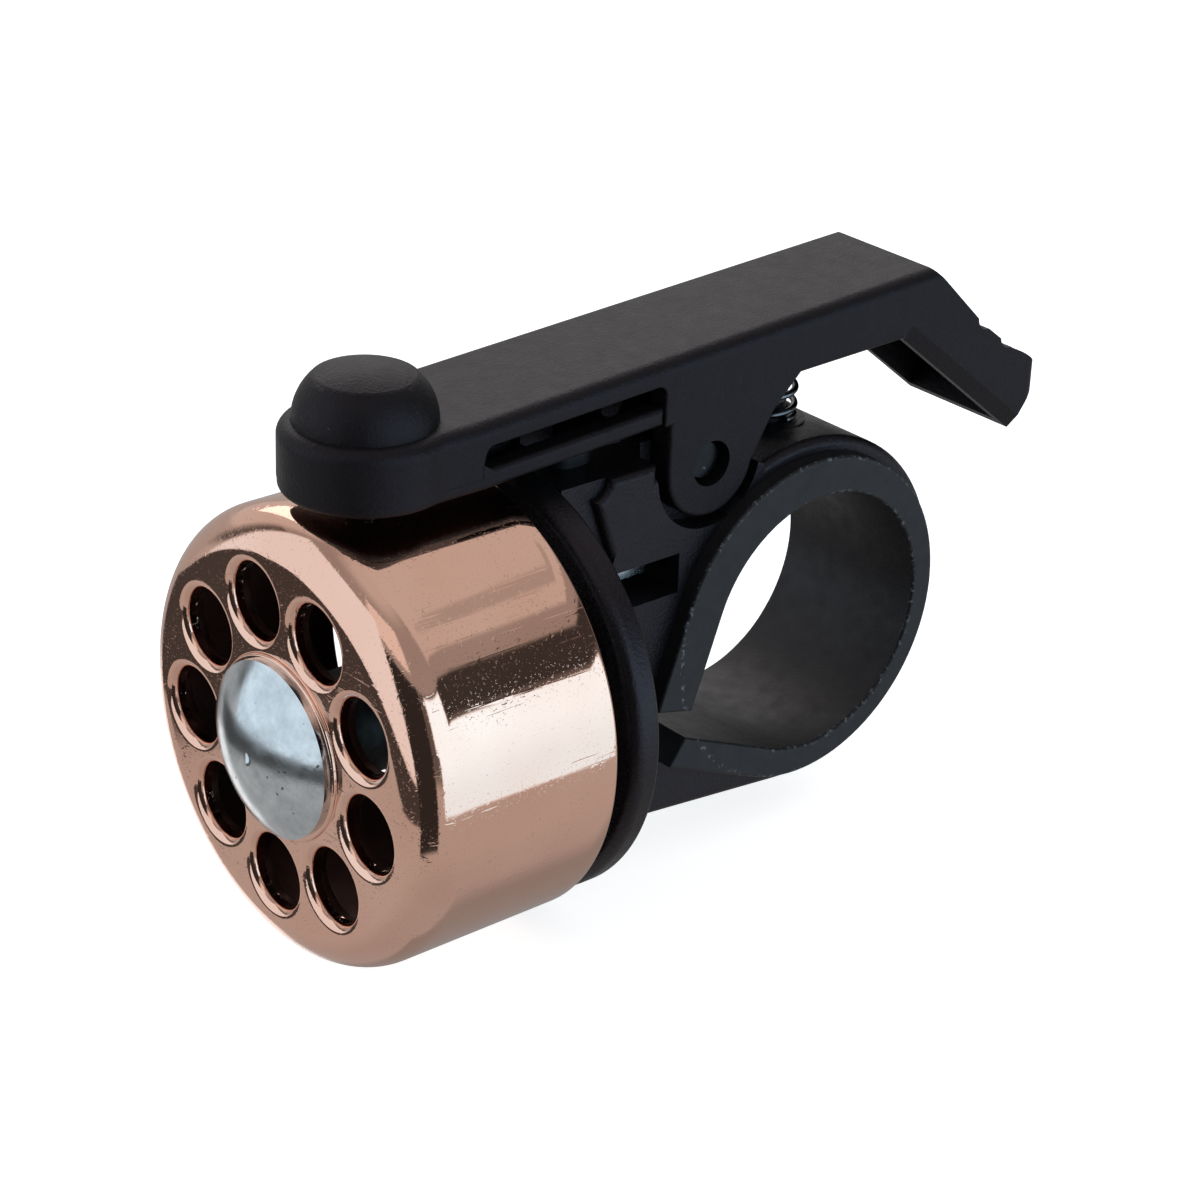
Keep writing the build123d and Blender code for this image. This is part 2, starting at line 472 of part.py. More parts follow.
# ---- lever shell: back, sides, two ears, hammer boss and thumb paddle --------------------------
SKIRT_EDGE = Plane(origin=(0, *BEND_BOTTOM), x_dir=(1, 0, 0),
                   z_dir=(0, PADDLE_TIP_BOTTOM[0] - BEND_BOTTOM[0], PADDLE_TIP_BOTTOM[1] - BEND_BOTTOM[1]))
LEVER_SEAM = HEAD_BOTTOM + ARM_LIP
with BuildPart() as lever_shell:
    nose = HEAD_Y - HEAD_R - 1
    with BuildSketch(SIDE):
        with BuildLine():
            Polyline((nose, BACK_START[1]), BACK_START, BEND_TOP, PADDLE_DIP, PADDLE_END)
            ThreePointArc(PADDLE_END, (24.9, 16.75), PADDLE_TIP_TOP)
            Polyline(PADDLE_TIP_TOP, PADDLE_TIP_BOTTOM, BEND_BOTTOM, WEB_FOOT, (SLOT_REAR, 20.4),
                     (SLOT_REAR, LEVER_SEAM), (nose, LEVER_SEAM), (nose, BACK_START[1]))
        make_face()
    extrude(amount=HEAD_R, both=True)
    # plan outline: a round head, straight sides and a shallow arc with rounded corners at the end
    with BuildSketch(Plane.XY):
        with Locations((0, HEAD_Y)):
            Circle(HEAD_R)
        with BuildLine():
            Polyline((-LEVER_W / 2, PADDLE_Y), (-LEVER_W / 2, HEAD_Y), (LEVER_W / 2, HEAD_Y),
                     (LEVER_W / 2, PADDLE_Y))
            ThreePointArc((LEVER_W / 2, PADDLE_Y), (0, PADDLE_Y + PADDLE_BULGE), (-LEVER_W / 2, PADDLE_Y))
        make_face()
        fillet(vertices().filter_by(lambda v: v.Y > PADDLE_Y - 1), radius=PADDLE_CORNER_R)
        fillet(vertices().filter_by(lambda v: HEAD_Y + 1 < v.Y < HEAD_Y + 4), radius=HEAD_BLEND_R)
    extrude(amount=40.0, mode=Mode.INTERSECT)
    back = lever_shell.faces().filter_by(GeomType.PLANE).filter_by(
        lambda f: f.normal_at().Z > 0.99).sort_by(SortBy.AREA)[-1]
    fillet(back.edges().sort_by(Axis.Y)[:-1], radius=LEVER_EDGE_R)
    # hammer boss with a drafted side and a slightly domed top
    with BuildSketch(SIDE):
        with BuildLine():
            foot = (HEAD_Y + BOSS_R, BACK_START[1] - 0.3)
            crease = (HEAD_Y + BOSS_TOP_R, BOSS_CREASE)
            crown = (HEAD_Y, BOSS_TOP)
            ThreePointArc(foot, (HEAD_Y + 5.05, 26.75), crease)
            ThreePointArc(crease, (HEAD_Y + BOSS_TOP_R / 2, BOSS_TOP - 0.15), crown)
            Polyline(crown, (HEAD_Y, 22.0), (HEAD_Y + BOSS_R - 0.5, 22.0), foot)
        make_face()
    revolve(axis=Axis((0, HEAD_Y, 0), (0, 0, 1)))
    crease_edge = lever_shell.edges().filter_by(GeomType.CIRCLE).filter_by(
        lambda e: abs(e.radius - BOSS_TOP_R) < 0.01 and abs(e.center().Z - BOSS_CREASE) < 0.01)
    fillet(crease_edge, radius=CREASE_R)
    # hollow underside: a channel under the back, wider under the paddle
    with BuildSketch(SIDE):
        with BuildLine():
            Polyline((SLOT_FRONT, lever_top(SLOT_FRONT) - 1.7), (11.3, 25.3), (12.0, 18.0),
                     (-20.0, 18.0), (SLOT_FRONT, 18.0), close=True)
        make_face()
    extrude(amount=LEVER_W / 2 - LEVER_WALL, both=True, mode=Mode.SUBTRACT)
    with BuildSketch(SIDE):
        with BuildLine():
            Polyline((9.5, 25.15), (11.3, 25.3), (17.3, 19.95), (21.4, 16.7), (24.1, 14.5),
                     (20.7, 10.1), (8.0, 20.0), close=True)
        make_face()
    extrude(amount=LEVER_W / 2 - PADDLE_WALL, both=True, mode=Mode.SUBTRACT)
    with BuildSketch(Plane.XY.offset(18.0)):
        with Locations((0, HEAD_Y)):
            Circle(HEAD_R - LEVER_WALL)
        with Locations((0, (HEAD_Y + SLOT_FRONT) / 2)):
            Rectangle(LEVER_W - 2 * LEVER_WALL, SLOT_FRONT - HEAD_Y + 0.2)
    extrude(amount=5.0, mode=Mode.SUBTRACT)
    with BuildSketch(Plane.XY.offset(WEIGHT_BOTTOM)):
        with Locations((0, HEAD_Y)):
            Circle(WEIGHT_R + 0.05)
    extrude(amount=WEIGHT_TOP + 0.05 - WEIGHT_BOTTOM, mode=Mode.SUBTRACT)
    # the open slot above the striker arm's rails
    with BuildSketch(SIDE):
        with BuildLine():
            Polyline((SLOT_FRONT, 18.0), (SLOT_FRONT, RAIL_FRONT[1] - 0.2),
                     (SLOT_FRONT + 0.5, SLOT_TOP_FRONT), (SLOT_REAR, SLOT_TOP_REAR), (SLOT_REAR, 18.0),
                     close=True)
        make_face()
        fillet(vertices().filter_by(lambda v: v.Y > RAIL_REAR[1]), radius=SLOT_END_R)
    extrude(amount=LEVER_W, both=True, mode=Mode.SUBTRACT)
    # ears
    for side in (-1, 1):
        with BuildSketch(Plane.YZ.offset(side * LEVER_W / 2)):
            with Locations((PIVOT_Y, PIVOT_Z)):
                Circle(EAR_R)
            with BuildLine():
                Polyline((PIVOT_Y - EAR_R, PIVOT_Z), (PIVOT_Y - EAR_R, 23.2), (WEB_FOOT[0], 23.2),
                         WEB_FOOT, (-4.3, 20.0), (PIVOT_Y + EAR_R - 0.1, PIVOT_Z - 0.9), close=True)
            make_face()
            with Locations((PIVOT_Y, PIVOT_Z)):
                Circle(EAR_HOLE_R, mode=Mode.SUBTRACT)
        extrude(amount=-side * EAR_T)
    # soft outer edges on the ears, the lower side edges and the slots
    ear_edges = lever_shell.edges().filter_by(
        lambda e: abs(abs(e.center().X) - LEVER_W / 2) < 0.02 and e.center().Z < 20.5
        and -16.2 < e.center().Y < -4 and not (e.geom_type == GeomType.CIRCLE and e.radius < EAR_R - 1))
    fillet(ear_edges, radius=EAR_EDGE_R)
    side_edges = lever_shell.edges().filter_by(
        lambda e: abs(abs(e.center().X) - LEVER_W / 2) < 0.02 and 21 < e.center().Z < 22.2
        and -1 < e.center().Y < 8)
    fillet(side_edges, radius=SIDE_EDGE_R)
    slot_edges = lever_shell.edges().filter_by(
        lambda e: abs(abs(e.center().X) - LEVER_W / 2) < 0.02 and 21 < e.center().Z < 24.1
        and SLOT_FRONT - 0.1 < e.center().Y < SLOT_REAR + 0.1)
    fillet(slot_edges, radius=SLOT_EDGE_R)
    # rib along the middle, screw post for the striker arm and stud for the spring
    with BuildSketch(SIDE):
        with BuildLine():
            Polyline((ARM_SCREW_Y, 24.2), (ARM_SCREW_Y, RIB_BOTTOM), (RIB_DEEP_FRONT[0], RIB_BOTTOM),
                     (RIB_DEEP_FRONT[0], RIB_DEEP), (RIB_DEEP_FRONT[1], RIB_DEEP),
                     (RIB_DEEP_FRONT[1], RIB_BOTTOM), (RIB_DEEP_REAR[0], RIB_BOTTOM),
                     (RIB_DEEP_REAR[0], RIB_DEEP), (RIB_DEEP_REAR[1], RIB_DEEP),
                     (SLOT_REAR - 0.5, 22.3), (SLOT_REAR - 0.5, 25.0), close=True)
        make_face()
    extrude(amount=RIB_X, both=True)
    with BuildSketch(Plane.XY.offset(SCREW_POST_BOTTOM)):
        with Locations((0, ARM_SCREW_Y)):
            Circle(SCREW_POST_R)
    extrude(amount=lever_top(ARM_SCREW_Y) - 1.2 - SCREW_POST_BOTTOM)
    with BuildSketch(Plane.XY.offset(SCREW_POST_BOTTOM)):
        with Locations((0, ARM_SCREW_Y)):
            Circle(ARM_SCREW_R + 0.02)
    extrude(amount=SCREW_BORE_H, mode=Mode.SUBTRACT)
    with BuildSketch(Plane.XY.offset(UPPER_STUD_FOOT)):
        with Locations((0, SPRING_Y)):
            Circle(STUD_R)
    extrude(amount=UPPER_STUD_H)
    # a bevel along each side of the skirt under the paddle
    for side in (-1, 1):
        with BuildSketch(SKIRT_EDGE):
            with BuildLine():
                Polyline((side * (LEVER_W / 2 + 1), -BEVEL_H), (side * LEVER_W / 2, -BEVEL_H),
                         (side * (LEVER_W / 2 - BEVEL_IN), 0), (side * (LEVER_W / 2 - BEVEL_IN), 1),
                         (side * (LEVER_W / 2 + 1), 1), close=True)
            make_face()
        extrude(amount=20.0, mode=Mode.SUBTRACT)
    # two grip grooves across the paddle
    for groove_y, groove_z in GROOVES:
        with BuildSketch(SIDE):
            rise = GROOVE_R - GROOVE_DEPTH
            with Locations((groove_y + rise * PADDLE_NORMAL[0], groove_z + rise * PADDLE_NORMAL[1])):
                Circle(GROOVE_R)
        extrude(amount=LEVER_W, both=True, mode=Mode.SUBTRACT)
save(lever_shell.part, "lever_shell")

# ---- striker arm: floor of the head, two rails and the bridge over the bumper ------------------
ARM_FLOOR_REAR = -27.5
with BuildPart() as arm_rails:
    for side in (-1, 1):
        with BuildSketch(Plane.YZ.offset(side * LEVER_W / 2)):
            with BuildLine():
                Polyline((SLOT_FRONT + 0.05, RAIL_FRONT[0]), (SLOT_FRONT + 0.05, RAIL_FRONT[1] + 0.5),
                         (SLOT_FRONT + 0.75, RAIL_FRONT[1]), (SLOT_REAR - 0.1, RAIL_REAR[1]),
                         (SLOT_REAR - 0.1, RAIL_REAR[0]), close=True)
            make_face()
        extrude(amount=-side * LEVER_WALL)
    rail_edges = arm_rails.edges().filter_by(
        lambda e: abs(abs(e.center().X) - LEVER_W / 2) < 0.01 and e.center().Y > SLOT_FRONT + 2)
    fillet(rail_edges, radius=RAIL_R)

with BuildPart() as striker_arm:
    with BuildSketch(Plane.XY.offset(HEAD_BOTTOM)):
        with Locations((0, HEAD_Y)):
            Circle(HEAD_R - 0.05)
        with Locations((0, (HEAD_Y + SLOT_FRONT + 0.3) / 2)):
            Rectangle(LEVER_W, SLOT_FRONT + 0.3 - HEAD_Y)
        fillet(vertices().filter_by(lambda v: HEAD_Y + 1 < v.Y < HEAD_Y + 4), radius=HEAD_BLEND_R)
    extrude(amount=ARM_LIP - 0.02)
    fillet(striker_arm.faces().sort_by(Axis.Z)[0].edges().sort_by(Axis.Y)[:-1], radius=LIP_EDGE_R)
    add(arm_rails.part)
    with BuildSketch(Plane.XY.offset(HEAD_BOTTOM)):
        with Locations((0, (HEAD_Y + ARM_FLOOR_REAR) / 2)):
            Rectangle(LEVER_W - 2 * LEVER_WALL + 0.4, ARM_FLOOR_REAR - HEAD_Y)
    extrude(amount=ARM_LIP - 0.02)
    with BuildSketch(Plane.XY.offset(LEVER_SEAM - 0.1)):
        with Locations((0, HEAD_Y)):
            Circle(HEAD_R - LEVER_WALL - 0.1)
        with Locations((0, ARM_SCREW_Y)):
            Circle(ARM_BOSS_R)
    extrude(amount=ARM_BOSS_H)
    with BuildSketch(Plane.XY.offset(HEAD_BOTTOM)):
        with Locations((0, BUMPER_Y)):
            Rectangle(LEVER_W - 2 * LEVER_WALL + 0.4, BUMPER_L + 0.8)
    extrude(amount=BRIDGE_TOP - HEAD_BOTTOM)
    with BuildSketch(Plane.XY.offset(HEAD_BOTTOM)):
        with Locations((0, HEAD_Y)):
            Circle(STRIKER_R + 0.02)
        with Locations((0, ARM_SCREW_Y)):
            Circle(ARM_SCREW_R + 0.1)
    extrude(amount=3.0, mode=Mode.SUBTRACT)
    with BuildSketch(Plane.XY.offset(HEAD_BOTTOM)):
        with Locations((0, ARM_SCREW_Y)):
            Circle(ARM_SCREW_HEAD_R + 0.1)
    extrude(amount=0.75, mode=Mode.SUBTRACT)
save(striker_arm.part, "striker_arm")

# ---- hammer weight, striker tip and the arm's screw --------------------------------------------
with BuildPart() as hammer_weight:
    with BuildSketch(Plane.XY.offset(WEIGHT_BOTTOM)):
        with Locations((0, HEAD_Y)):
            Circle(WEIGHT_R)
    extrude(amount=WEIGHT_TOP - WEIGHT_BOTTOM)
    chamfer(hammer_weight.faces().sort_by(Axis.Z)[-1].edges(), length=0.4)
save(hammer_weight.part, "hammer_weight")

STRIKER_BOTTOM = BELL_Z + CUP_R + STRIKER_GAP
with BuildPart() as striker_tip:
    with BuildSketch(Plane.XY.offset(STRIKER_BOTTOM)):
        with Locations((0, HEAD_Y)):
            Circle(STRIKER_R)
    extrude(amount=WEIGHT_BOTTOM - 0.02 - STRIKER_BOTTOM)
    fillet(striker_tip.faces().sort_by(Axis.Z)[0].edges(), radius=0.8)
save(striker_tip.part, "striker_tip")

ARM_SCREW_Z = HEAD_BOTTOM + SEAT_GAP
with BuildPart() as arm_screw:
    with BuildSketch(Plane.XY.offset(ARM_SCREW_Z)):
        with Locations((0, ARM_SCREW_Y)):
            Circle(ARM_SCREW_HEAD_R)
    extrude(amount=ARM_SCREW_HEAD_H)
    with BuildSketch(Plane.XY.offset(ARM_SCREW_Z)):
        with Locations((0, ARM_SCREW_Y)):
            Circle(ARM_SCREW_R)
    extrude(amount=ARM_SCREW_L)
    with BuildSketch(Plane.XY.offset(ARM_SCREW_Z)):
        with Locations((0, ARM_SCREW_Y)):
            Rectangle(ARM_CROSS_L, ARM_CROSS_W)
            Rectangle(ARM_CROSS_W, ARM_CROSS_L)
    extrude(amount=ARM_CROSS_DEPTH, mode=Mode.SUBTRACT)
save(arm_screw.part, "arm_screw")
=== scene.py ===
"""Looks for the handlebar bell: smooth cup and spring meshes, procedural materials, studio and camera."""
import math

import bmesh
import bpy
from mathutils import Matrix, Vector


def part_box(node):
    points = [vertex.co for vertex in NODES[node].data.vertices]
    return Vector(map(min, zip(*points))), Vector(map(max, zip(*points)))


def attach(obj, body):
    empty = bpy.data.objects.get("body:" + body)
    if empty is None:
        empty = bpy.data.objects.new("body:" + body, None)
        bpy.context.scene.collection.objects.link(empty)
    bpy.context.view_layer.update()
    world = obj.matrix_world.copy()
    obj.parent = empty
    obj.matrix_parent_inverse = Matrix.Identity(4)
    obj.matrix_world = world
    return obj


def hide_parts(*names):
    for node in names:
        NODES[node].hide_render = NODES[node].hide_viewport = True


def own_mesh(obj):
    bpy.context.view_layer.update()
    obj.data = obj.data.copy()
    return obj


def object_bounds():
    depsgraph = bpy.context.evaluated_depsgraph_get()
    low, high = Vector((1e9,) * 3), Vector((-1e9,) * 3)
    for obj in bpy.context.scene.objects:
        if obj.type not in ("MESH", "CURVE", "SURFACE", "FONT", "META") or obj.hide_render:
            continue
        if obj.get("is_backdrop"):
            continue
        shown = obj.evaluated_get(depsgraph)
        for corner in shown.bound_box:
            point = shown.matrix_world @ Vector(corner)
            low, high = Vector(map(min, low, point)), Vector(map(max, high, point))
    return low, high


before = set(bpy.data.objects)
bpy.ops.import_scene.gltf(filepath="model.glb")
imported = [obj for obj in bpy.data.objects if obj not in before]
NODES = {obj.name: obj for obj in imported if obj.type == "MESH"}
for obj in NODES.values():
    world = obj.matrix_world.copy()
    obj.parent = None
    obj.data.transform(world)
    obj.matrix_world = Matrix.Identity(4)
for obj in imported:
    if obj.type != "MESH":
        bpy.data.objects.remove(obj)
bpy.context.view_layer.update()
MM = 0.001


# ---- meshes ------------------------------------------------------------------------------------
def mesh_piece(name, vertices, faces, material, body):
    """A mesh object in the row frame, in metres, that rides on a body."""
    mesh = bpy.data.meshes.new(name)
    mesh.from_pydata([tuple(v) for v in vertices], [], faces)
    mesh.validate()
    mesh.update()
    piece = bpy.data.objects.new(name, mesh)
    bpy.context.scene.collection.objects.link(piece)
    mesh.materials.append(material)
    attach(piece, body)
    return piece


def weld(piece, distance):
    """Join vertices that lie on each other, turn all faces outward and shade them smooth."""
    work = bmesh.new()
    work.from_mesh(piece.data)
    bmesh.ops.remove_doubles(work, verts=work.verts, dist=distance)
    bmesh.ops.recalc_face_normals(work, faces=work.faces)
    work.to_mesh(piece.data)
    work.free()
    for polygon in piece.data.polygons:
        polygon.use_smooth = True


# ---- node trees --------------------------------------------------------------------------------
class Tree:
    """Shorthand for adding and linking the nodes of one node tree."""

    def __init__(self, tree):
        self.tree = tree

    def add(self, kind, **values):
        node = self.tree.nodes.new(kind)
        for key, value in values.items():
            setattr(node, key, value)
        return node

    def link(self, source, target):
        self.tree.links.new(source, target)

    def feed(self, socket, value):
        """Give a socket a number, a colour or a link from another node."""
        if isinstance(value, (int, float)):
            socket.default_value = value
        elif isinstance(value, tuple):
            socket.default_value = (*value, 1)
        else:
            self.link(value, socket)

    def calc(self, operation, first, second=0.0):
        node = self.add("ShaderNodeMath", operation=operation)
        self.feed(node.inputs[0], first)
        self.feed(node.inputs[1], second)
        return node.outputs["Value"]

    def times(self, first, second):
        return self.calc("MULTIPLY", first, second)

    def plus(self, first, second):
        return self.calc("ADD", first, second)

    def mix(self, factor, first, second, kind="RGBA"):
        """The first colour or number where factor is 0, and the second where it is 1."""
        node = self.add("ShaderNodeMix", data_type=kind)
        self.link(factor, node.inputs["Factor"])
        self.feed(node.inputs["A"], first)
        self.feed(node.inputs["B"], second)
        return node.outputs["Result"]

    def split(self, vector):
        """The x, y and z of a vector."""
        node = self.add("ShaderNodeSeparateXYZ")
        self.link(vector, node.inputs["Vector"])
        return [node.outputs[axis] for axis in "XYZ"]


class Surface(Tree):
    """One material. Noise scales are in cycles per metre, and bump distances are in metres."""

    def __init__(self, name):
        self.material = bpy.data.materials.new(name)
        self.material.use_nodes = True
        super().__init__(self.material.node_tree)
        self.shader = self.tree.nodes["Principled BSDF"]
        self.place = self.add("ShaderNodeTexCoord").outputs["Object"]

    def stretch(self, scale):
        """Object coordinates scaled differently along each axis."""
        mapping = self.add("ShaderNodeMapping")
        mapping.inputs["Scale"].default_value = scale
        self.link(self.place, mapping.inputs["Vector"])
        return mapping.outputs["Vector"]

    def noise(self, scale, detail=3.0, rough=0.5, vector=None):
        node = self.add("ShaderNodeTexNoise")
        node.inputs["Scale"].default_value = scale
        node.inputs["Detail"].default_value = detail
        node.inputs["Roughness"].default_value = rough
        self.link(vector or self.place, node.inputs["Vector"])
        return node.outputs["Fac"]

    def remap(self, source, low, high, to_low=0, to_high=1):
        """Spread the range from low to high over the range from to_low to to_high, and clamp it there."""
        node = self.add("ShaderNodeMapRange")
        for key, value in (("From Min", low), ("From Max", high), ("To Min", to_low), ("To Max", to_high)):
            node.inputs[key].default_value = value
        self.link(source, node.inputs["Value"])
        return node.outputs["Result"]

    def bump(self, height, distance, strength=1.0, after=None):
        """A bumped normal, on top of an earlier one if it is given."""
        node = self.add("ShaderNodeBump")
        node.inputs["Strength"].default_value = strength
        node.inputs["Distance"].default_value = distance
        self.link(height, node.inputs["Height"])
        if after:
            self.link(after, node.inputs["Normal"])
        return node.outputs["Normal"]

    def finish(self, color, roughness=None, normal=None, **sockets):
        """Link what varies to the shader and set its uniform values, named with _ for a space."""
        self.link(color, self.shader.inputs["Base Color"])
        if roughness is not None:
            self.link(roughness, self.shader.inputs["Roughness"])
        if normal is not None:
            self.link(normal, self.shader.inputs["Normal"])
        for key, value in sockets.items():
            self.shader.inputs[key.replace("_", " ")].default_value = value
        return self.material


# ---- materials ---------------------------------------------------------------------------------
def copper():
    """Polished rose-copper plating: hairline scratches, dull specks and slight waves."""
    s = Surface("rose_copper_plate")
    drift = s.remap(s.noise(90, detail=2), 0.35, 0.65)
    tone = s.mix(drift, (0.88, 0.520, 0.395), (0.92, 0.570, 0.440))
    specks = s.remap(s.noise(5200, detail=2, rough=0.6), 0.63, 0.71)
    patches = s.remap(s.noise(190, rough=0.6), 0.42, 0.62, to_low=0.15)
    dull = s.times(specks, patches)
    color = s.mix(dull, tone, (0.60, 0.40, 0.32))
    lines = s.remap(s.noise(1500, detail=2, vector=s.stretch((1.4, 0.05, 1.4))), 0.60, 0.70)
    cross = s.remap(s.noise(1300, detail=2, vector=s.stretch((0.06, 1.2, 1.5))), 0.62, 0.72)
    scratches = s.times(s.plus(lines, cross), patches)
    rough = s.plus(s.remap(patches, 0, 1, 0.035, 0.065), s.times(dull, 0.22))
    waves = s.bump(s.noise(60, detail=1), distance=0.00010, strength=0.30)
    scored = s.bump(scratches, distance=0.000010, strength=0.55, after=waves)
    pitted = s.bump(specks, distance=0.000008, strength=0.35, after=scored)
    return s.finish(color, rough, pitted, Metallic=1.0)


def cup_inside():
    """The inside of the cup and the bores of its rolled collars: duller, and darker with painted shade, a
    very dark copper colour that stands in for the shade in there.
    """
    s = Surface("cup_inside_painted_shade")
    # Painted shade: the inside's colour is kept very dark in place of the shade inside the cup.
    tone = s.mix(s.noise(300, detail=4), (0.085, 0.036, 0.030), (0.15, 0.075, 0.060))
    rough = s.remap(s.noise(500), 0.3, 0.7, 0.42, 0.60)
    return s.finish(tone, rough, s.bump(s.noise(900), distance=0.00002, strength=0.5), Metallic=1.0)


def bare_metal(name, light, dark, smooth, dull):
    """Satin metal with mottling and a few dark spots. Its roughness goes from smooth to dull."""
    s = Surface(name)
    mottle = s.remap(s.noise(520, detail=5, rough=0.65), 0.35, 0.70)
    spots = s.remap(s.noise(1500, detail=2), 0.70, 0.76)
    color = s.mix(spots, s.mix(mottle, light, dark), (0.12, 0.13, 0.14))
    rough = s.remap(mottle, 0, 1, smooth, dull)
    grain = s.bump(s.noise(1400, detail=4, rough=0.6), distance=0.000014, strength=0.4)
    return s.finish(color, rough, grain, Metallic=1.0)


def moulded(name, tone, smooth, dull, grain, specular):
    """Moulded black plastic with a fine spark-eroded grain, as deep as grain in metres, and faint marks."""
    s = Surface(name)
    paler = tuple(1.25 * channel for channel in tone)
    drift = s.remap(s.noise(260, detail=4, rough=0.6), 0.3, 0.7)
    dust = s.remap(s.noise(2600, detail=2), 0.755, 0.79, to_high=0.45)
    color = s.mix(dust, s.mix(drift, tone, paler), (0.14, 0.14, 0.145))
    rough = s.remap(s.noise(700, detail=4, rough=0.6), 0.3, 0.7, smooth, dull)
    grained = s.bump(s.noise(3600, rough=0.7), distance=grain)
    rubbed = s.noise(240, detail=2, vector=s.stretch((1.0, 0.35, 1.0)))
    marked = s.bump(rubbed, distance=0.00002, strength=0.1, after=grained)
    return s.finish(color, rough, marked, Specular_IOR_Level=specular, Specular_Tint=(1.0, 0.76, 0.86, 1))


def rubber():
    """Dull dark rubber, with pale nicks on the sleeve's two end faces along its outer round and its bore."""
    end_from, end_full = 7.15 * MM, 7.4 * MM
    outer_y, outer_z = -0.75 * MM, 0.5 * MM
    rim_from, rim_full, rim_fade, rim_off = 13.55 * MM, 13.85 * MM, 14.0 * MM, 14.1 * MM
    bore_off, bore_full = 11.45 * MM, 11.15 * MM
    s = Surface("black_rubber_worn")
    x, y, z = s.split(s.place)
    on_end = s.remap(s.calc("ABSOLUTE", x), end_from, end_full)

    def reach(centre_y, centre_z):
        """Distance from an axis along X."""
        dy = s.plus(y, -centre_y)
        dz = s.plus(z, -centre_z)
        return s.calc("SQRT", s.plus(s.times(dy, dy), s.times(dz, dz)))

    outer = reach(outer_y, outer_z)
    at_rim = s.times(s.remap(outer, rim_from, rim_full), s.remap(outer, rim_off, rim_fade))
    at_bore = s.remap(reach(0, 0), bore_off, bore_full)
    edges = s.times(s.calc("MAXIMUM", at_rim, at_bore), on_end)
    worn = s.times(s.remap(s.noise(1900, rough=0.7), 0.53, 0.65, to_high=0.6), edges)
    drift = s.remap(s.noise(900, detail=4, rough=0.6), 0.3, 0.7)
    tone = s.mix(drift, (0.0105, 0.0105, 0.0112), (0.0150, 0.0150, 0.0160))
    color = s.mix(worn, tone, (0.30, 0.30, 0.31))
    rough = s.remap(s.noise(700), 0.3, 0.7, 0.42, 0.54)
    pebbled = s.bump(s.noise(3800, rough=0.6), distance=0.00003, strength=0.6)
    nicked = s.bump(worn, distance=0.00004, strength=0.5, after=pebbled)
    return s.finish(color, rough, nicked, Specular_IOR_Level=0.36, Specular_Tint=(1.0, 0.86, 0.88, 1))


def wire():
    """Dark drawn spring wire."""
    s = Surface("dark_spring_wire")
    color = s.mix(s.noise(800), (0.10, 0.10, 0.105), (0.20, 0.20, 0.21))
    rough = s.remap(s.noise(1200), 0.3, 0.7, 0.18, 0.32)
    drawn = s.bump(s.noise(4000, detail=2), distance=0.000008, strength=0.4)
    return s.finish(color, rough, drawn, Metallic=1.0)


def pressed_fibre():
    """Red-brown pressed fibre sheet."""
    s = Surface("pressed_fibre")
    color = s.mix(s.noise(900, detail=5, rough=0.7), (0.09, 0.032, 0.022), (0.17, 0.07, 0.045))
    rough = s.remap(s.noise(600), 0.3, 0.7, 0.6, 0.8)
    return s.finish(color, rough, s.bump(s.noise(2600, detail=4), distance=0.00004, strength=0.6))


COPPER = copper()
CUP_INSIDE_SHADE = cup_inside()
ZINC = bare_metal("satin_zinc", (0.70, 0.725, 0.74), (0.50, 0.53, 0.55), 0.13, 0.25)
STEEL = bare_metal("plain_steel", (0.50, 0.50, 0.50), (0.36, 0.36, 0.37), 0.24, 0.36)
LEVER_PLASTIC = moulded("lever_black_plastic", (0.0062, 0.0060, 0.0066), 0.38, 0.45, 0.000072, 0.22)
BODY_PLASTIC = moulded("body_black_plastic", (0.0058, 0.0056, 0.0064), 0.28, 0.40, 0.000072, 0.28)
PLATE_PLASTIC = moulded("plate_black_plastic", (0.0060, 0.0058, 0.0064), 0.26, 0.36, 0.000054, 0.34)
RUBBER = rubber()
BLACKENED = bare_metal("black_oxide", (0.030, 0.029, 0.031), (0.018, 0.018, 0.019), 0.22, 0.34)
DULL_STEEL = bare_metal("dull_steel", (0.13, 0.13, 0.13), (0.07, 0.07, 0.07), 0.40, 0.55)
WIRE = wire()
FIBRE = pressed_fibre()

FINISHES = {
    "rubber_liner": RUBBER,
    "rest_bumper": RUBBER,
    "bracket": BODY_PLASTIC,
    "back_plate": PLATE_PLASTIC,
    "lever_shell": LEVER_PLASTIC,
    "striker_arm": LEVER_PLASTIC,
    "centre_bolt": ZINC,
    "clamp_nut": ZINC,
    "clamp_screw": ZINC,
    "clamp_washer": ZINC,
    "striker_tip": ZINC,
    "arm_screw": ZINC,
    "bolt_nut": STEEL,
    "hammer_weight": STEEL,
    "pivot_pin": BLACKENED,
    "spacer_tube": DULL_STEEL,
    "lock_washer": WIRE,
    "fibre_washer": FIBRE,
}
for node, finish in FINISHES.items():
    for material_slot in NODES[node].material_slots:
        material_slot.material = finish


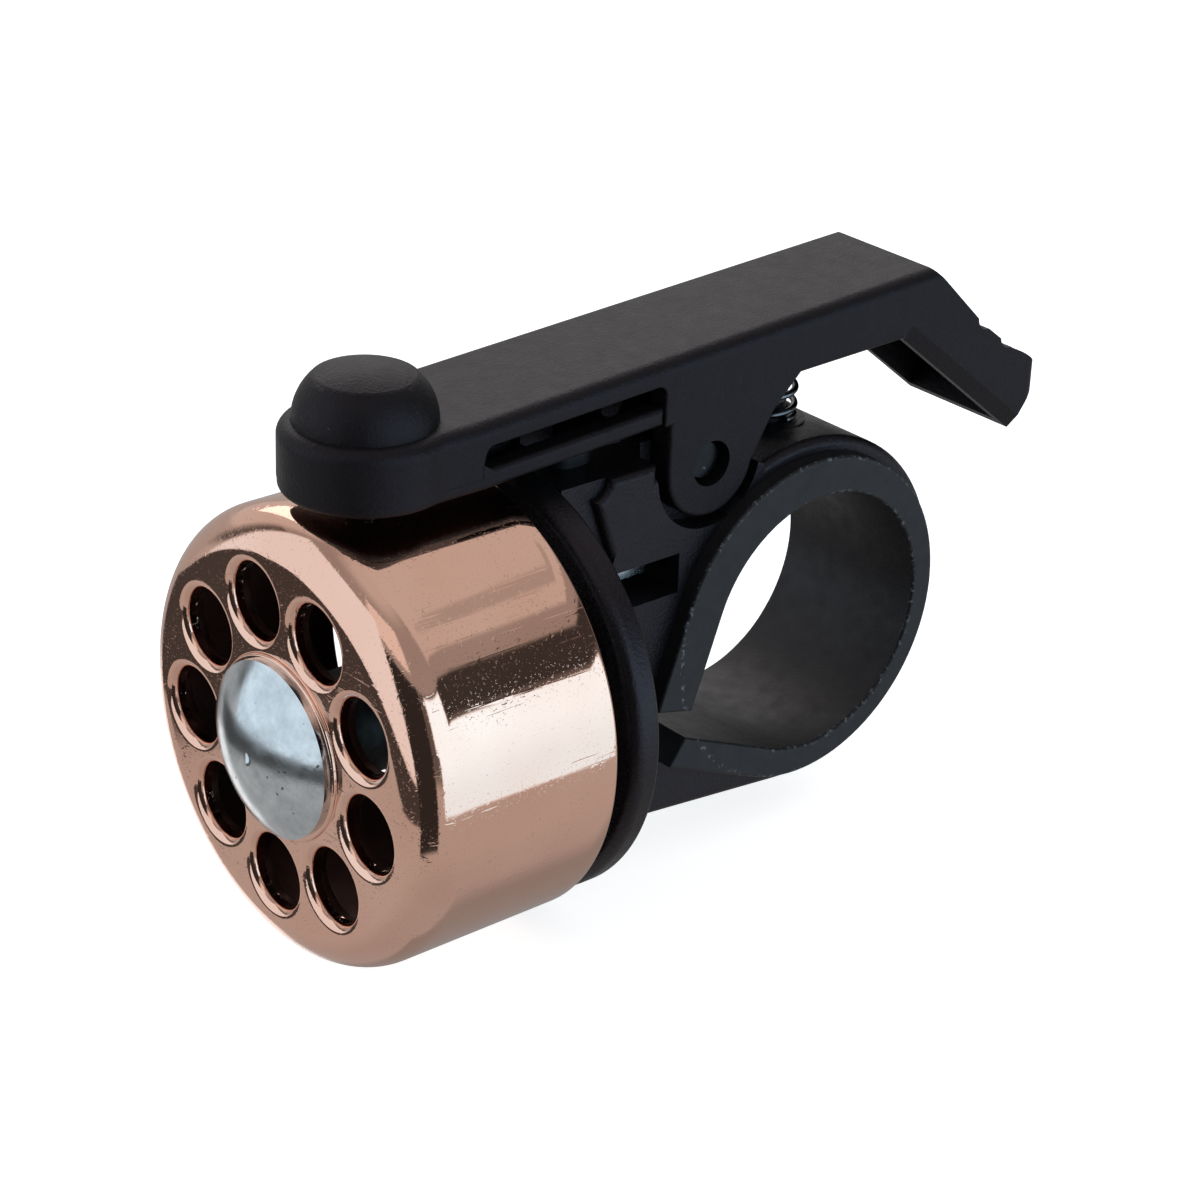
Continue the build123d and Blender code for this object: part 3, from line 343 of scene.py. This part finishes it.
# ---- bell cup ----------------------------------------------------------------------------------
def bell_cup():
    """A drawn cup with nine rolled-in holes, built as smooth patches round each hole and lathed walls."""
    low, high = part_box("bell_cup")
    axis_z = (low.z + high.z) / 2
    radius = (high.x - low.x) / 2
    wall, edge_r = 0.8 * MM, 3.4 * MM
    lip_round = 0.3 * MM
    seat_r, seat_h, seat_soft, bore_r = 7.3 * MM, 0.3 * MM, 0.22 * MM, 3.0 * MM
    face, rear = low.y + seat_h, high.y
    flat_r = radius - edge_r

    holes, hole_r, ring_r, first_turn = 9, 2.93 * MM, 11.08 * MM, math.radians(26.1)
    flare = 0.72 * MM
    collar_r, collar_depth = hole_r + 0.5 * MM, 1.9 * MM
    collar_top, collar_round, collar_foot = 1.2 * MM, 0.2 * MM, 0.5 * MM
    foot_spread = 0.25 * MM
    patch_in, patch_out = 7.36 * MM, 16.0 * MM
    half = math.pi / holes
    in_steps, side_steps, out_steps = 16, 26, 24
    flare_steps, face_steps = 8, 14
    vertices, outside_faces, inside_faces = [], [], []

    def put(x, y, z):
        vertices.append(Vector((x, y, z + axis_z)))
        return len(vertices) - 1

    def plain_face(r, inner):
        """Height of the face without its holes at a radius, outside or inside."""
        bend = edge_r - wall if inner else edge_r
        y = face + (wall if inner else 0)
        if r > flat_r:
            y += bend - math.sqrt(max(bend**2 - (r - flat_r)**2, 0))
        return y

    def sector():
        """Points round one hole's share of the face, starting along its inner arc."""
        depth = patch_out - patch_in
        polar = [(patch_in, -half + 2 * half * i / in_steps) for i in range(in_steps)]
        polar += [(patch_in + depth * i / side_steps, half) for i in range(side_steps)]
        polar += [(patch_out, half - 2 * half * i / out_steps) for i in range(out_steps)]
        polar += [(patch_out - depth * i / side_steps, -half) for i in range(side_steps)]
        return [(r * math.cos(a), r * math.sin(a)) for r, a in polar]

    def patch(turn, ring_at, drop, target, inner):
        """The face round one hole, from the hole out to its sector's edge, and the loop at the hole.

        ring_at(t) is the radius of the rings beside the hole, and drop(d) how far the face has sunk at
        a distance d from the hole's centre.
        """
        rings = [ring_at(i / flare_steps) for i in range(flare_steps + 1)]
        grid = []
        for px, pz in sector():
            dx, dz = px - ring_r, pz
            reach = math.hypot(dx, dz)
            spread = reach - rings[-1]
            distances = rings + [rings[-1] + spread * i / face_steps for i in range(1, face_steps + 1)]
            line = []
            for d in distances:
                x, z = ring_r + dx / reach * d, dz / reach * d
                r, a = math.hypot(x, z), math.atan2(z, x) + turn
                line.append(put(r * math.cos(a), plain_face(r, inner) + drop(d), r * math.sin(a)))
            grid.append(line)
        for line, next_line in zip(grid, grid[1:] + grid[:1]):
            for j in range(len(line) - 1):
                quad = (line[j], line[j + 1], next_line[j + 1], next_line[j])
                target.append(quad[::-1] if inner else quad)
        return [line[0] for line in grid]

    def loft(first_loop, second_loop, target):
        count = len(first_loop)
        for i in range(count):
            j = (i + 1) % count
            target.append((first_loop[i], first_loop[j], second_loop[j], second_loop[i]))

    def flare_ring(t):
        """Hole radius out to the flare's edge, evenly along its quarter round."""
        return hole_r + flare * (1 - math.cos(t * math.pi / 2))

    def flare_drop(d):
        gap = min(max((hole_r + flare - d) / flare, 0), 1)
        return flare * (1 - math.sqrt(max(1 - gap**2, 0)))

    def foot_ring(t):
        return collar_r + foot_spread * t

    def no_drop(_):
        return 0

    def collar_stations():
        """Radius and depth down the collar's bore, round its end and back up its outside."""
        round_steps = 6
        middle, half_wall = (hole_r + collar_r) / 2, (collar_r - hole_r) / 2
        round_y = face + collar_depth - collar_round
        stations = [(hole_r, face + collar_top), (hole_r, round_y)]
        for i in range(1, round_steps + 1):
            a = math.pi * i / round_steps
            stations.append((middle - half_wall * math.cos(a), round_y + collar_round * math.sin(a)))
        return stations + [(collar_r, face + wall + collar_foot)]

    def collar(turn, outer_loop, inner_loop):
        """The rolled-in collar between the loops at the hole in the outer and the inner face."""
        centre = Vector((ring_r * math.cos(turn), 0, ring_r * math.sin(turn) + axis_z))
        loops = [outer_loop]
        for r, y in collar_stations():
            loop = []
            for index in outer_loop:
                outward = Vector((vertices[index].x, 0, vertices[index].z)) - centre
                outward.normalize()
                loop.append(put(centre.x + outward.x * r, y, centre.z - axis_z + outward.z * r))
            loops.append(loop)
        loops.append(inner_loop)
        # Past its first ring the collar takes the inside's painted-shade material.
        for first_loop, second_loop in zip(loops, loops[1:]):
            loft(first_loop, second_loop, outside_faces if first_loop is outer_loop else inside_faces)

    def lathe(stations, steps, target):
        """Turn radius and depth stations round the cup's axis, starting at a sector's side."""
        loops = []
        for r, y in stations:
            turns = [first_turn - half + 2 * math.pi * i / steps for i in range(steps)]
            loops.append([put(r * math.cos(a), y, r * math.sin(a)) for a in turns])
        for first_loop, second_loop in zip(loops, loops[1:]):
            loft(first_loop, second_loop, target)

    def outside_stations():
        """From the patches over the round edge, along the wall and round the lip."""
        bend_steps, wall_steps, lip_steps = 14, 12, 8
        stations = [(patch_out, plain_face(patch_out, False))]
        begin = math.asin((patch_out - flat_r) / edge_r)
        for i in range(1, bend_steps + 1):
            a = begin + (math.pi / 2 - begin) * i / bend_steps
            stations.append((flat_r + edge_r * math.sin(a), face + edge_r - edge_r * math.cos(a)))
        wall_length = rear - lip_round - face - edge_r
        for i in range(1, wall_steps + 1):
            stations.append((radius, face + edge_r + wall_length * i / wall_steps))
        for i in range(1, lip_steps + 1):
            a = math.pi * i / lip_steps
            r = radius - wall / 2 + wall / 2 * math.cos(a)
            stations.append((r, rear - lip_round + lip_round * math.sin(a)))
        return stations

    def inside_stations():
        """From the lip down the wall and over the inner bend to the patches."""
        bend_steps = 12
        bend = edge_r - wall
        stations = [(radius - wall, rear - lip_round), (radius - wall, face + edge_r)]
        stop = math.asin((patch_out - flat_r) / bend)
        for i in range(1, bend_steps + 1):
            a = math.pi / 2 + (stop - math.pi / 2) * i / bend_steps
            stations.append((flat_r + bend * math.sin(a), face + edge_r - bend * math.cos(a)))
        return stations

    def seat_stations():
        """The raised seat round the bolt, with its soft edge, then the bore and the face behind it."""
        soft_steps = 8
        stations = [(patch_in, face)]
        for i in range(soft_steps + 1):
            a = math.pi / 2 * i / soft_steps
            stations.append((seat_r - seat_soft * (1 - math.cos(a)), face - seat_h * math.sin(a)))
        return stations + [(bore_r, face - seat_h), (bore_r, face + wall), (patch_in, face + wall)]

    for k in range(holes):
        turn = first_turn + 2 * half * k
        outer_loop = patch(turn, flare_ring, flare_drop, outside_faces, False)
        inner_loop = patch(turn, foot_ring, no_drop, inside_faces, True)
        collar(turn, outer_loop, inner_loop)
    lathe(outside_stations(), holes * out_steps, outside_faces)
    lathe(inside_stations(), holes * out_steps, inside_faces)
    lathe(seat_stations(), holes * in_steps, outside_faces)

    faces = outside_faces + inside_faces
    piece = mesh_piece("bell_cup_plated", vertices, faces, COPPER, "base")
    # The inside faces and the collar bores take the painted-shade material.
    piece.data.materials.append(CUP_INSIDE_SHADE)
    for index, polygon in enumerate(piece.data.polygons):
        polygon.material_index = 0 if index < len(outside_faces) else 1
    weld(piece, 0.002 * MM)
    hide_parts("bell_cup")


# ---- return spring -----------------------------------------------------------------------------
def return_spring():
    """A compression spring with closed end turns."""
    low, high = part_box("return_spring")
    centre = (low + high) / 2
    wire_r = 0.27 * MM
    coil_r = (high.x - low.x) / 2 - wire_r
    bottom, top = low.z + wire_r, high.z - wire_r
    turns, closed = 6.9, 0.9
    closed_pitch = 2.1 * wire_r
    steps, around = 440, 14
    vertices, rings = [], []
    for i in range(steps + 1):
        t = turns * i / steps
        rise = min(max((t - closed) / (turns - 2 * closed), 0), 1)
        lift = closed_pitch * (min(t, closed) / closed - 1 + max(t - (turns - closed), 0) / closed)
        z = bottom + closed_pitch + (top - bottom - 2 * closed_pitch) * rise + lift
        a = 2 * math.pi * t
        point = Vector((centre.x + coil_r * math.cos(a), centre.y + coil_r * math.sin(a), z))
        out = Vector((math.cos(a), math.sin(a), 0))
        ring = []
        for j in range(around):
            b = 2 * math.pi * j / around
            vertices.append(point + wire_r * (math.cos(b) * out + math.sin(b) * Vector((0, 0, 1))))
            ring.append(len(vertices) - 1)
        rings.append(ring)
    faces = []
    for ring, next_ring in zip(rings, rings[1:]):
        for i in range(around):
            j = (i + 1) % around
            faces.append((ring[i], ring[j], next_ring[j], next_ring[i]))
    faces += [tuple(rings[0][::-1]), tuple(rings[-1])]
    piece = mesh_piece("return_spring_coil", vertices, faces, WIRE, "base")
    weld(piece, 0.001 * MM)
    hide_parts("return_spring")
    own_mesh(piece)


bell_cup()
return_spring()


# ---- studio ------------------------------------------------------------------------------------
def studio_floor():
    """A plain pale floor. What the metal mirrors below the horizon comes from the surround, not from it."""
    half_size = 3.0
    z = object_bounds()[0][2] - 0.2 * MM
    corners = [(-half_size, -half_size, z), (half_size, -half_size, z), (half_size, half_size, z),
               (-half_size, half_size, z)]
    mesh = bpy.data.meshes.new("studio_floor")
    mesh.from_pydata(corners, [], [(0, 1, 2, 3)])
    floor = bpy.data.objects.new("studio_floor", mesh)
    bpy.context.scene.collection.objects.link(floor)
    s = Surface("pale_floor")
    color = s.mix(s.noise(6), (0.80, 0.80, 0.80), (0.84, 0.84, 0.84))
    s.finish(color, Roughness=0.9, Specular_IOR_Level=0.1, Emission_Color=(1, 1, 1, 1),
             Emission_Strength=0.80)
    mesh.materials.append(s.material)
    floor.visible_glossy = False
    floor.visible_diffuse = False
    floor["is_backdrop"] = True


# The light tent, with angles in degrees. A band is the elevation where it starts, the elevation where it
# is full, and its level. A soft-edged card is its centre azimuth from +X, half width, side softness,
# bottom, top and edge softness.
GROUND_LEVEL = 0.48
UNDERSIDE_BAND = (-34, -62, 0.41)
FAR_GROUND_CARD, FAR_GROUND_LEVEL = (115, 30, 25, -90, -30, 8), 0.29
WALL_AND_ROOF_BANDS = ((-12, -2, 0.12), (31.5, 34, 0.34), (60, 80, 0.56))
CARDS_AND_LEVELS = (
    (150, 42, 12, 8, 52, 10, 0.60),            # the wide one behind
    (80, 40, 12, 42, 80, 2, 0.58),             # the high one behind, on the right
    (72, 14, 8, 48, 51, 1, 0.42),              # a seam across it
    (-60, 22, 8, 41, 60, 3, 0.80),             # the high one over the camera
    (168, 24, 10, -30, 2, 6, 0.42),            # the low one behind, on the left
    (-125, 48, 8, -27.6, -17, 0.8, 0.06),      # the gap under the front card
    (-54, 20, 4, -36, 32, 3, 0.03),            # the gap between the front and the side card
    (45, 16, 5, 19, 31.5, 2, 0.045),           # the gap over the side card
)
SIDE_CARD, SIDE_CARD_RISER = (18, 32, 4, -21, 15, 1.5), (2, 20, 5, 8, 30, 2)
SIDE_LEVEL_LOW, SIDE_LEVEL_HIGH, SIDE_LEVEL_RISE = 1.42, 1.64, (-16, 8)
SIDE_TINT = (0.67, 1.0, 1.23)
FRONT_CARD, FRONT_LEVEL = (-115, 36, 4, -14.5, 48, 3), 1.02
FRONT_TINT = (0.86, 1.0, 1.10)
LOW_CARD, LOW_LEVEL = (168, 13, 6, -44, -28, 4), 1.1


def studio_surround():
    """The light tent round the object: levels by elevation, with soft cards and gaps laid over them."""
    world = bpy.data.worlds.new("studio_world")
    world.use_nodes = True
    t = Tree(world.node_tree)
    background = t.tree.nodes["Background"]
    x, y, z = t.split(t.add("ShaderNodeTexCoord").outputs["Generated"])
    degrees = math.degrees(1)
    elevation = t.times(t.calc("ARCSINE", z), degrees)

    def ramp(value, start, end):
        """A smooth rise from 0 at start to 1 at end."""
        node = t.add("ShaderNodeMapRange", interpolation_type="SMOOTHSTEP")
        node.inputs["From Min"].default_value = start
        node.inputs["From Max"].default_value = end
        t.link(value, node.inputs["Value"])
        return node.outputs["Result"]

    def azimuth_from(centre):
        """Azimuth in degrees away from a centre azimuth, from -180 to 180."""
        c, s = math.cos(math.radians(centre)), math.sin(math.radians(centre))
        along = t.plus(t.times(x, c), t.times(y, s))
        across = t.calc("SUBTRACT", t.times(y, c), t.times(x, s))
        return t.times(t.calc("ARCTAN2", across, along), degrees)

    def card(azimuth, half_width, side_soft, bottom, top, edge_soft):
        """1 inside a card and 0 outside, with soft edges."""
        away = t.calc("ABSOLUTE", azimuth_from(azimuth))
        wide = ramp(away, half_width + side_soft, half_width)
        high = t.times(ramp(elevation, bottom - edge_soft, bottom), ramp(elevation, top + edge_soft, top))
        return t.times(wide, high)

    def lay(under, mask, level):
        """Put a level over what is there, where the mask is 1."""
        return t.mix(mask, under, level, kind="FLOAT")

    def band(under, start, end, level):
        return lay(under, ramp(elevation, start, end), level)

    light = band(GROUND_LEVEL, *UNDERSIDE_BAND)
    light = lay(light, card(*FAR_GROUND_CARD), FAR_GROUND_LEVEL)
    for rise in WALL_AND_ROOF_BANDS:
        light = band(light, *rise)
    for *shape, level in CARDS_AND_LEVELS:
        light = lay(light, card(*shape), level)
    side = t.calc("MAXIMUM", card(*SIDE_CARD), card(*SIDE_CARD_RISER))
    brighter = t.times(ramp(elevation, *SIDE_LEVEL_RISE), SIDE_LEVEL_HIGH - SIDE_LEVEL_LOW)
    light = lay(light, side, t.plus(SIDE_LEVEL_LOW, brighter))
    front = card(*FRONT_CARD)
    light = lay(light, front, FRONT_LEVEL)
    light = lay(light, card(*LOW_CARD), LOW_LEVEL)
    t.link(light, background.inputs["Strength"])
    tint = t.mix(front, (1.0, 1.0, 1.0), FRONT_TINT)
    t.link(t.mix(side, tint, SIDE_TINT), background.inputs["Color"])
    bpy.context.scene.world = world


def soft_light(name, azimuth, elevation, distance, width, height, power):
    """An area light that the object sees at an azimuth from +X and an elevation, in degrees."""
    target = Vector((0, -20 * MM, 5 * MM))
    a, e = math.radians(azimuth), math.radians(elevation)
    direction = Vector((math.cos(a) * math.cos(e), math.sin(a) * math.cos(e), math.sin(e)))
    data = bpy.data.lights.new(name, "AREA")
    data.shape = "RECTANGLE"
    data.size, data.size_y = width, height
    data.energy = power
    light = bpy.data.objects.new(name, data)
    light.location = target + direction * distance
    light.rotation_euler = direction.to_track_quat("Z", "Y").to_euler()
    light.visible_camera = False
    bpy.context.scene.collection.objects.link(light)


def studio_camera():
    """The long lens at the photograph's angle, turned from -Y towards +X and rolled a little."""
    azimuth, elevation, roll = math.radians(48.61), math.radians(25.67), math.radians(2.20)
    place = Vector((0.17456, -0.17069, 0.11573))
    back = Vector((math.sin(azimuth) * math.cos(elevation), -math.cos(azimuth) * math.cos(elevation),
                   math.sin(elevation)))
    level_right = Vector((math.cos(azimuth), math.sin(azimuth), 0))
    level_up = back.cross(level_right)
    right = level_right * math.cos(roll) + level_up * math.sin(roll)
    up = level_up * math.cos(roll) - level_right * math.sin(roll)
    data = bpy.data.cameras.new("studio_camera")
    data.sensor_width = 36
    data.lens = 98.13
    data.clip_start, data.clip_end = 0.01, 20
    camera = bpy.data.objects.new("studio_camera", data)
    camera.matrix_world = Matrix.Translation(place) @ Matrix((right, up, back)).transposed().to_4x4()
    bpy.context.scene.collection.objects.link(camera)
    bpy.context.scene.camera = camera


studio_floor()
studio_surround()
soft_light("top_box", azimuth=152, elevation=36, distance=0.70, width=0.60, height=0.40, power=0.85)
studio_camera()
bpy.context.scene.view_settings.view_transform = "Standard"
